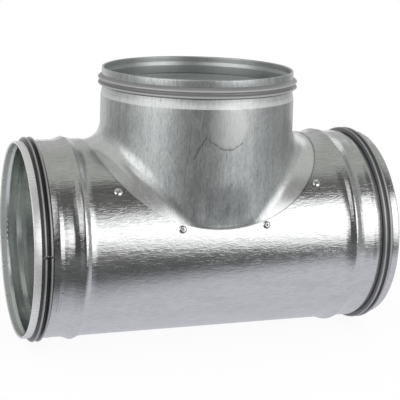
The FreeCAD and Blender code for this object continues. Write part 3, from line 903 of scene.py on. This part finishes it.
@dataclass
class Saddle:
    """The branch: neck, rolling ball fillet and skirt pressed from one sheet, with a spigot end on top."""

    finish: bpy.types.Material
    joint: SaddleJoint = field(default_factory=SaddleJoint)
    spigot: Spigot = Spigot(
        radius=79.5, ridge_top=17.4, ridge_rise=-1.15, ridge_foot=22.5, ridge_dip=0.05
    )
    top: float = 137.2
    skirt_radius: float = 78.75
    neck_radius: float = 79.6
    sheet: float = 0.6
    ball: float = 15.8
    tuck_rise: float = 1.2
    tuck_height: float = 34.0
    seam: float = 99.0
    least_across: float = 0.05
    turns: int = 288
    wall_rows: int = 22
    fillet_rows: int = 14
    skirt_rows: int = 5
    halvings: int = 50

    def feet(self, turn: np.ndarray) -> tuple[np.ndarray, np.ndarray]:
        """Radius at which the neck meets the fillet and the ball centre's height, for each turn.

        The foot is a soft minimum of the neck's radius and the radius that tucks behind the opening's edge.
        """
        tucked = math.sqrt(self.skirt_radius ** 2 - (self.joint.low + self.tuck_rise) ** 2)
        limit = tucked / np.maximum(np.abs(np.sin(turn)), self.least_across)
        foot = 0.5 * (self.neck_radius + limit - np.hypot(self.neck_radius - limit, self.sheet))
        across = (foot + self.ball) * np.sin(turn)
        return foot, np.sqrt((self.skirt_radius + self.ball) ** 2 - across ** 2)

    def wall(self, turn: np.ndarray, depth: float) -> np.ndarray:
        """Rows of the neck wall from the fillet up to the round part, set in by a depth."""
        foot, low = self.feet(turn)
        share = np.linspace(0.0, 1.0, self.wall_rows)[:, None]
        height = low + (self.seam - low) * share
        part = np.clip((height - low) / np.minimum(self.tuck_height, self.seam - low), 0.0, 1.0)
        drawn = 1.0 - part * part * (3.0 - 2.0 * part)
        radius = self.neck_radius + (foot - self.neck_radius) * drawn - depth
        return np.stack([radius * np.cos(turn), -radius * np.sin(turn), height], -1)

    def fillet(self, turn: np.ndarray, depth: float) -> np.ndarray:
        """Rows of the fillet from the skirt up to the wall: a turn of the ball between its two contacts."""
        foot, low = self.feet(turn)
        reach = foot + self.ball
        centre = np.stack([reach * np.cos(turn), -reach * np.sin(turn), low], -1)
        to_neck = np.stack([-np.cos(turn), np.sin(turn), np.zeros_like(turn)], -1)
        to_skirt = centre * np.array([0.0, -1.0, -1.0])
        to_skirt /= np.linalg.norm(to_skirt, axis=-1, keepdims=True)
        between = np.arccos(np.clip(np.sum(to_neck * to_skirt, -1), -1.0, 1.0))[:, None]
        share = np.linspace(0.0, 1.0, self.fillet_rows)[:, None, None]
        arm = (to_skirt * np.sin((1 - share) * between) + to_neck * np.sin(share * between)) / np.sin(between)
        return centre + arm * (self.ball + depth)

    def skirt(self, turn: np.ndarray, depth: float) -> np.ndarray:
        """Rows of the skirt from its edge up to the fillet, straight on the rolled out cylinder.

        The edge is where the line from the crown through the fillet's foot leaves the outer circle.
        """
        inner = self.fillet(turn, 0.0)[0]
        along = np.abs(inner[:, 0])
        down = self.skirt_radius * np.arctan2(np.abs(inner[:, 1]), inner[:, 2])
        slope = np.arctan2(down, along)
        radius = self.joint.radius + self.joint.overlap
        low = np.zeros_like(slope)
        high = np.full_like(slope, math.acos((self.joint.centre - self.skirt_radius) / radius))
        for _ in range(self.halvings):
            angle = 0.5 * (low + high)
            out = radius * np.sin(angle)
            level = (self.joint.centre - radius * np.cos(angle)) / self.skirt_radius
            fall = self.skirt_radius * np.arccos(np.minimum(level, 1))
            steep = np.arctan2(fall, out) > slope
            low, high = np.where(steep, angle, low), np.where(steep, high, angle)
        share = np.linspace(0.0, 1.0, self.skirt_rows)[:, None]
        flat = out + (along - out) * share
        bend = (fall + (down - fall) * share) / self.skirt_radius
        radius = self.skirt_radius - depth
        across = flat * np.sign(np.cos(turn))
        return np.stack([across, -radius * np.sin(bend) * np.sign(np.sin(turn)), radius * np.cos(bend)], -1)

    def build(self) -> bpy.types.Object:
        """Make the saddle as one closed sheet: outside from the skirt's edge to the mouth and back inside."""
        turn = (np.arange(self.turns) + 0.5) * 2 * np.pi / self.turns
        skins = []
        for depth in (0.0, self.sheet):
            stretches = [self.skirt(turn, depth), self.fillet(turn, depth)[1:], self.wall(turn, depth)[1:]]
            skins.append(np.concatenate(stretches))
        first, last = (self.seam, self.neck_radius, 0), (self.seam, self.neck_radius - self.sheet, 0)
        end = rounded([first, *self.spigot.outline(self.top), last])[1:-1]
        radius = end[:, 1:]
        height = np.repeat(end[:, :1], self.turns, axis=1)
        ring = np.stack([radius * np.cos(turn), -radius * np.sin(turn), height], -1)
        grid = np.concatenate([skins[0], ring, skins[1][::-1]])
        faces = quads(*grid.shape[:2], close_rows=True)
        inner = inner_rows(grid[:, 0, 2], self.turns)
        nodes = ["branch_saddle"]
        return make_piece("saddle_sheet", lifted(grid), faces, self.finish, nodes, "branch_saddle", inner)


@dataclass(frozen=True)
class Seal:
    """A double lip seal: a foot in the rim's fold, a base in the groove and two blunt lips.

    A lip's outline steps in sixths of the lips' pitch, and its softened crest is drawn from a higher corner.
    """

    finish: bpy.types.Material
    spigot: Spigot = field(default_factory=Spigot)
    lip_radius: float = 82.0
    crest_rise: float = 0.15
    shoulder: float = 81.3
    valley: float = 79.5
    valley_reach: float = 2.6
    first: float = 8.6
    pitch: float = 4.5
    gap: float = 0.05
    corner_gap: float = 0.1
    flank_gap: float = 0.2
    turns: int = 256

    def lip(self, place: float) -> list[Triple]:
        """Four corners of a lip whose crest is at a place: valley, shoulder, crest and shoulder."""
        tip = self.pitch / 6
        return [
            (place - 2 * tip, self.valley, 0.4),
            (place - tip, self.shoulder, 0.4),
            (place, self.lip_radius + self.crest_rise, 0.5),
            (place + tip, self.shoulder, 0.4),
        ]

    def outline(self, mouth: float) -> np.ndarray:
        """Closed outline of (along, radius)."""
        under = self.spigot.rim_radius - self.spigot.sheet
        foot = under - self.spigot.fold_gap + self.gap
        base = self.spigot.groove_radius + self.gap
        end = mouth - self.spigot.sheet - self.spigot.fold_gap - self.gap
        start, reach = mouth - self.spigot.groove_start, mouth - self.spigot.groove_reach
        edge = mouth - self.spigot.rim_band - self.gap
        second = mouth - self.first - self.pitch
        return rounded([
            (end, foot, 0.0),
            (start + self.spigot.sheet, foot, 0.1),
            (start - self.corner_gap, base, 0.1),
            (reach + self.flank_gap, base, 0.1),
            (reach - self.flank_gap, self.spigot.bevel_radius, 0.3),
            *self.lip(second),
            (second + self.valley_reach * self.pitch / 6, self.valley, 0.4),
            *self.lip(mouth - self.first),
            (edge, self.spigot.rim_radius, 0.2),
            (edge, under - self.gap, 0.05),
            (end, under - self.gap, 0.0),
        ], steps=3)

    def build_on_run(self, name: str, mouth: float, side: Side) -> bpy.types.Object:
        """Make a seal of the run at one end."""
        grid = lathe(self.outline(mouth), self.turns) * np.array([side.value, 1.0, 1.0])
        return self.build(name, mouth, grid)

    def build_on_branch(self, name: str, mouth: float) -> bpy.types.Object:
        """Make the seal of the branch."""
        return self.build(name, mouth, lathe(self.outline(mouth), self.turns)[..., [1, 2, 0]])

    def build(self, name: str, mouth: float, grid: np.ndarray) -> bpy.types.Object:
        """Make a seal from its grid of points.

        A point's depth is how far its radius lies under the lips, as a share of the lips' whole height.
        """
        drop = (self.lip_radius - self.outline(mouth)[:, 1]) / (self.lip_radius - self.valley)
        depth = np.repeat(np.clip(drop, 0.0, 1.0)[:, None], self.turns, axis=1)
        faces = quads(*grid.shape[:2], close_rows=True)
        return make_piece(f"{name}_rubber", lifted(grid), faces, self.finish, [name], "gasket", depth)


@dataclass(frozen=True)
class BlindRivets:
    """The eight blind rivets of the joint, four in front and four behind.

    The outlines of body and stem hold distance outwards from the tube, radius and corner trim. The rivets are
    placed by their distance along the run and by how far they lie outside the joint's circle.
    """

    BODY = (
        (-5.15, 0.95, 0.0), (1.05, 0.95, 0.1), (1.15, 1.25, 0.12), (0.98, 2.1, 0.5), (0.35, 3.2, 0.25),
        (0.05, 3.2, 0.05), (0.05, 1.6, 0.05), (-1.75, 1.6, 0.1), (-2.77, 2.6, 0.5), (-4.13, 2.6, 0.5),
        (-5.15, 1.6, 0.0),
    )
    STEM = (
        (-6.4, 0.02, 0.0), (-6.4, 0.85, 0.1), (-5.92, 1.45, 0.2), (-5.2, 1.45, 0.1), (-5.2, 0.85, 0.05),
        (0.35, 0.85, 0.15), (0.45, 0.02, 0.0),
    )

    head_finish: bpy.types.Material
    mandrel_finish: bpy.types.Material
    joint: SaddleJoint = field(default_factory=SaddleJoint)
    tube_radius: float = TUBE_RADIUS
    upper: Pair = (82.4, 5.8)
    lower: Pair = (34.6, 3.7)
    turns: int = 40

    def places(self) -> list[tuple[np.ndarray, np.ndarray]]:
        """Surface point and outward direction of each rivet."""
        found = []
        for along, beyond in (self.upper, self.lower):
            height = self.joint.centre - math.sqrt((self.joint.radius + beyond) ** 2 - along ** 2)
            across = math.sqrt(self.tube_radius ** 2 - height ** 2)
            for way in (-1, 1):
                for face in (-1, 1):
                    point = np.array([way * along, face * across, height])
                    found.append((point, np.array([0.0, face * across, height]) / self.tube_radius))
        return found

    def copies(self, outline: np.ndarray) -> tuple[np.ndarray, np.ndarray]:
        """Points and faces of one turned form set at every place.

        Each copy's own axis points outwards. The run's direction and their cross product are the others.
        """
        form = lathe(outline, self.turns)
        faces = quads(*form.shape[:2], close_rows=True)
        count = form.shape[0] * form.shape[1]
        first = np.array([1.0, 0.0, 0.0])
        points, all_faces = [], []
        for number, (point, outward) in enumerate(self.places()):
            basis = np.stack([outward, first, np.cross(outward, first)])
            points.append(point + form.reshape(-1, 3) @ basis)
            all_faces.append(faces + number * count)
        return lifted(np.concatenate(points)), np.concatenate(all_faces)

    def build(self) -> None:
        """Make the rivets and the broken mandrels left in them."""
        heads, stems = self.copies(rounded(self.BODY)), self.copies(rounded(self.STEM))
        make_piece("rivet_bodies", *heads, self.head_finish, ["rivets"], "rivet")
        make_piece("rivet_stems", *stems, self.mandrel_finish, ["rivet_mandrels"], "mandrel")


# Studio


@dataclass(frozen=True)
class Softbox:
    """A round lamp that looks at the tee; its reach is half the angle under which the tee sees it."""

    name: str
    azimuth: float
    elevation: float
    reach: float
    radiance: float
    distance: float = 5.0

    def build(self) -> None:
        """Make the lamp. Its azimuth runs from the front towards the right end of the run, in degrees."""
        data = bpy.data.lights.new(self.name, "AREA")
        radius = self.distance * math.tan(math.radians(self.reach))
        data.shape = "DISK"
        data.size = 2.0 * radius
        data.energy = self.radiance * math.pi * math.pi * radius ** 2
        lamp = add_object(self.name, data)
        turn, rise = math.radians(self.azimuth), math.radians(self.elevation)
        way = Vector((math.sin(turn) * math.cos(rise), -math.cos(turn) * math.cos(rise), math.sin(rise)))
        lamp.location = Vector((0.0, 0.0, AXIS_HEIGHT * MM)) + way * self.distance
        lamp.rotation_euler = way.to_track_quat("Z", "Y").to_euler()
        lamp.visible_camera = False


@dataclass(frozen=True)
class Studio:
    """White studio: floor, table top as the metal sees it, world and lamps.

    Azimuths and elevations are degrees, and azimuths run from the front towards the right end of the run. A
    field holds its middle azimuth, half width, middle elevation, half height and level. Front and rear hold a
    middle azimuth, half width and softness, and the heights are where one part of the studio gives way.
    """

    FRONT = (0.0, 56.0, 12.0)
    REAR = (0.0, 150.0, 5.0)
    REAR_HEIGHTS = (4.0, 14.0)
    WALL_HEIGHTS = (38.0, 44.0)
    ZENITH_HEIGHTS = (66.0, 82.0)
    TABLE_HEIGHTS = (-60.0, -50.0)

    WALLS = (
        (-180, 0.50), (-150, 0.50), (-135, 0.31), (-112, 0.34), (-92, 0.40), (-46, 0.34), (-36, 0.22),
        (-26, 0.17), (4, 0.17), (12, 0.15), (46, 0.22), (60, 0.36), (80, 0.31), (112, 0.25), (123, 0.32),
        (128, 0.95), (140, 0.95), (148, 0.50), (180, 0.50),
    )
    FIELDS = ((-17.0, 23.0, 17.0, 24.0, 0.05), (-34.0, 12.0, 36.0, 19.0, 0.95))
    LAMPS = (
        Softbox("right_softbox", azimuth=32.0, elevation=13.7, reach=25.0, radiance=1.0),
        Softbox(
            "right_softbox_middle", azimuth=33.0, elevation=15.5, reach=16.5, radiance=0.65, distance=4.9
        ),
        Softbox("right_softbox_edge", azimuth=7.5, elevation=14.0, reach=8.5, radiance=0.55, distance=4.8),
        Softbox("left_softbox", azimuth=-66.0, elevation=14.5, reach=24.0, radiance=1.15),
    )

    floor_radius: float = 1.4
    floor_tint: Triple = (0.95, 0.95, 0.95)
    floor_glow: float = 0.90
    floor_level: float = 1.02
    table_radius: float = 0.36
    table_tint: Triple = (0.63, 0.633, 0.685)
    table_dark: Triple = (0.11, 0.112, 0.112)
    table_edge: float = 0.150
    table_soft: float = 0.052
    camera_side: float = -19.1
    ceiling_tint: Triple = (0.43, 0.44, 0.415)
    ceiling_front: Triple = (0.105, 0.105, 0.10)
    zenith_tint: Triple = (0.46, 0.47, 0.44)
    rear_tint: Triple = (0.85, 0.85, 0.84)
    field_soft: float = 4.0
    ambient: float = 0.78
    disc_sides: int = 96

    def disc(self, name: str, radius: float, material: bpy.types.Material) -> bpy.types.Object:
        """Make a flat disc on the ground."""
        angle = np.linspace(0.0, 2.0 * np.pi, self.disc_sides, endpoint=False)
        ring = np.stack([np.cos(angle), np.sin(angle), np.zeros_like(angle)], -1) * radius
        mesh = bpy.data.meshes.new(name)
        mesh.from_pydata(ring.tolist(), [], [list(range(len(angle)))])
        mesh.materials.append(material)
        made = add_object(name, mesh)
        return made

    @staticmethod
    def looked_at(shader: Shader) -> Signal:
        """One for rays straight from the camera or through something, nought for all others."""
        seen = shader.add("LightPath", out="Is Camera Ray")
        return shader.maths("MAXIMUM", seen, shader.add("LightPath", out="Is Transmission Ray"))

    def build_floor(self) -> None:
        """A round pale floor that the camera sees as white but for the tee's soft shadow."""
        material = bpy.data.materials.new("floor_white")
        shader = Shader(material)
        diffuse = shader.add("BsdfDiffuse", None, {"Color": (*self.floor_tint, 1.0)})
        glow = {"Color": (1.0, 1.0, 1.0, 1.0), "Strength": self.floor_level}
        white = shader.add("Emission", None, glow)
        share = self.looked_at(shader) * self.floor_glow
        shader.finish_surface(shader.add("MixShader", None, {0: share, 1: diffuse, 2: white}))
        self.disc("floor", self.floor_radius, material).visible_glossy = False

    def build_table(self) -> None:
        """The table as the metal reflects it: pale round the tee, dark beyond its edge near the camera."""
        material = bpy.data.materials.new("table_reflected")
        shader = Shader(material)
        east, north, _ = shader.parts(shader.add("TexCoord", out="Object"))
        turn = math.radians(self.camera_side)
        forward = east * math.sin(turn) - north * math.cos(turn)
        low, high = self.table_edge - self.table_soft, self.table_edge + self.table_soft
        colour = shader.mix(shader.smooth(forward, low, high), self.table_tint, self.table_dark)
        shader.finish_surface(shader.add("Emission", None, {"Color": colour, "Strength": 1.0}))
        table = self.disc("table", self.table_radius, material)
        for kind in ("camera", "diffuse", "shadow", "transmission", "volume_scatter"):
            setattr(table, f"visible_{kind}", False)

    def walls(self, shader: Shader, azimuth: Signal) -> Signal:
        """Level of the walls round the tee: dark behind the camera, a lit screen behind to the right."""
        places = [((degrees + 180.0) / 360.0, level) for degrees, level in self.WALLS]
        fac = (azimuth + 180.0) / 360.0
        return shader.add("ValToRGB", {"stops": places}, {"Fac": fac}, "Color")

    def reflected(self, shader: Shader) -> Signal:
        """What the metal sees round the tee: walls, ceiling, the rear, two fields and the far table."""
        east, north, up = shader.parts(shader.add("TexCoord", out="Generated"))
        elevation = shader.maths("ARCSINE", up) * math.degrees(1.0)
        azimuth = shader.maths("ARCTAN2", east, -1.0 * north) * math.degrees(1.0)
        front = shader.band(azimuth, *self.FRONT)
        ceiling = shader.mix(front, self.ceiling_tint, self.ceiling_front)
        ceiling = shader.mix(shader.smooth(elevation, *self.ZENITH_HEIGHTS), ceiling, self.zenith_tint)
        above = shader.smooth(elevation, *self.WALL_HEIGHTS)
        glow = shader.mix(above, self.walls(shader, azimuth), ceiling)
        behind = 1.0 - shader.band(azimuth, *self.REAR)
        glow = shader.mix(behind * shader.fall(elevation, *self.REAR_HEIGHTS), glow, self.rear_tint)
        for middle, half, height, reach, level in self.FIELDS:
            wide = shader.band(azimuth, middle, half, self.field_soft)
            tall = shader.band(elevation, height, reach, self.field_soft)
            glow = shader.mix(wide * tall, glow, (level,) * 3)
        return shader.mix(shader.fall(elevation, *self.TABLE_HEIGHTS), glow, self.table_tint)

    def build_world(self) -> None:
        """White for the camera; for reflections a studio with pale fields and dark gaps between them."""
        world = bpy.data.worlds.new("studio")
        bpy.context.scene.world = world
        shader = Shader(world)
        glossy = shader.add("LightPath", out="Is Glossy Ray")
        around = shader.mix(glossy, (self.ambient,) * 3, self.reflected(shader))
        colour = shader.mix(self.looked_at(shader), around, (1.0, 1.0, 1.0))
        shader.finish_surface(shader.add("Background", None, {"Color": colour, "Strength": 1.0}))

    def build(self) -> None:
        """Make the whole studio. The right lamps draw the bright band along the run."""
        self.build_floor()
        self.build_table()
        self.build_world()
        for lamp in self.LAMPS:
            lamp.build()
        view = bpy.context.scene.view_settings
        view.view_transform = "Standard"


@dataclass(frozen=True)
class StudioCamera:
    """The camera at the photograph's viewing angle, from a fit to points of the object in the photograph."""

    place: Triple = (-0.3151, -0.9066, 0.3395)
    right: Triple = (0.9608, -0.2765, 0.0215)
    up: Triple = (0.0167, 0.1349, 0.9907)
    lens: float = 105.435
    sensor: float = 36.0
    shift_x: float = 0.15661
    shift_y: float = -0.30668

    def build(self) -> None:
        """Make the camera and set it as the scene's."""
        data = bpy.data.cameras.new("studio_camera")
        data.lens = self.lens
        data.sensor_width = self.sensor
        data.shift_x = self.shift_x
        data.shift_y = self.shift_y
        data.clip_start = 0.01
        camera = add_object("studio_camera", data)
        right, up = Vector(self.right).normalized(), Vector(self.up)
        back = right.cross(up).normalized()
        turn = Matrix((right, back.cross(right), back)).transposed().to_4x4()
        camera.matrix_world = Matrix.Translation(Vector(self.place)) @ turn
        bpy.context.scene.camera = camera


@dataclass(frozen=True)
class DuctTee:
    """The whole tee with its finishes."""

    RUN_STEEL = Galvanised(
        name="galvanised_run", tint=(0.765, 0.77, 0.765), shade=(0.655, 0.665, 0.665),
        streak=(125.0, 500.0, 500.0), cell=(60.0, 160.0, 160.0), speck=(500.0, 900.0, 900.0),
        roughness=0.19, streak_depth=0.09, speck_depth=0.004, wisp_depth=0.026,
        brush=(150.0, 750.0, 750.0), blend=(0.10, 0.12, 0.13, 0.65), marks=RunMarks(),
    )
    SADDLE_STEEL = Galvanised(
        name="galvanised_saddle", tint=(0.71, 0.735, 0.73), shade=(0.525, 0.55, 0.55),
        streak=(850.0, 850.0, 80.0), cell=(260.0, 260.0, 90.0), speck=(700.0, 700.0, 350.0),
        roughness=0.38, streak_depth=0.045, speck_depth=0.008,
        brush=(950.0, 950.0, 230.0), blend=(0.05, 0.10, 0.25, 0.60), spread=0.13,
        score=(800.0, 800.0, 50.0), score_depth=0.30, inner_tint=(0.53, 0.555, 0.54),
        metal=0.96, pit_depth=0.30, marks=SaddleMarks(),
    )
    RIVET_STEEL = Galvanised(
        name="rivet_steel", tint=(0.93, 0.93, 0.93), shade=(0.86, 0.86, 0.86),
        streak=(300.0, 300.0, 300.0), cell=(200.0, 200.0, 200.0), speck=(900.0, 900.0, 900.0),
        roughness=0.20, streak_depth=0.01, speck_depth=0.004,
    )
    MANDREL_STEEL = replace(
        RIVET_STEEL, name="mandrel_steel", tint=(0.50, 0.50, 0.50), shade=(0.40, 0.40, 0.40), roughness=0.36
    )
    RUBBER = Rubber("seal_rubber", (0.42, 0.42, 0.43), (0.05, 0.05, 0.05), 0.28)
    GREY_RUBBER = Rubber("seal_rubber_grey", (0.50, 0.50, 0.51), (0.17, 0.17, 0.175), 0.32)
    # Paler rubber with lighter grooves for the branch's seal
    DUSTY_RUBBER = Rubber("seal_rubber_pale", (0.52, 0.52, 0.52), (0.30, 0.30, 0.30), 0.40, sheen=0.4)

    half_run: float = 150.4
    branch_top: float = 137.2

    def build(self) -> None:
        """Make every sub-assembly in order."""
        RunTube(self.RUN_STEEL.build()).build()
        Saddle(self.SADDLE_STEEL.build()).build()
        Seal(self.RUBBER.build()).build_on_run("gasket_left", self.half_run, Side.LEFT)
        Seal(self.GREY_RUBBER.build()).build_on_run("gasket_right", self.half_run, Side.RIGHT)
        Seal(self.DUSTY_RUBBER.build()).build_on_branch("gasket_branch", self.branch_top)
        BlindRivets(self.RIVET_STEEL.build(), self.MANDREL_STEEL.build()).build()


def main() -> None:
    """Build the tee, its studio and its camera."""
    logging.basicConfig(level=logging.INFO)
    StudioCamera().build()
    Studio().build()
    DuctTee().build()


if __name__ == "__main__":
    main()
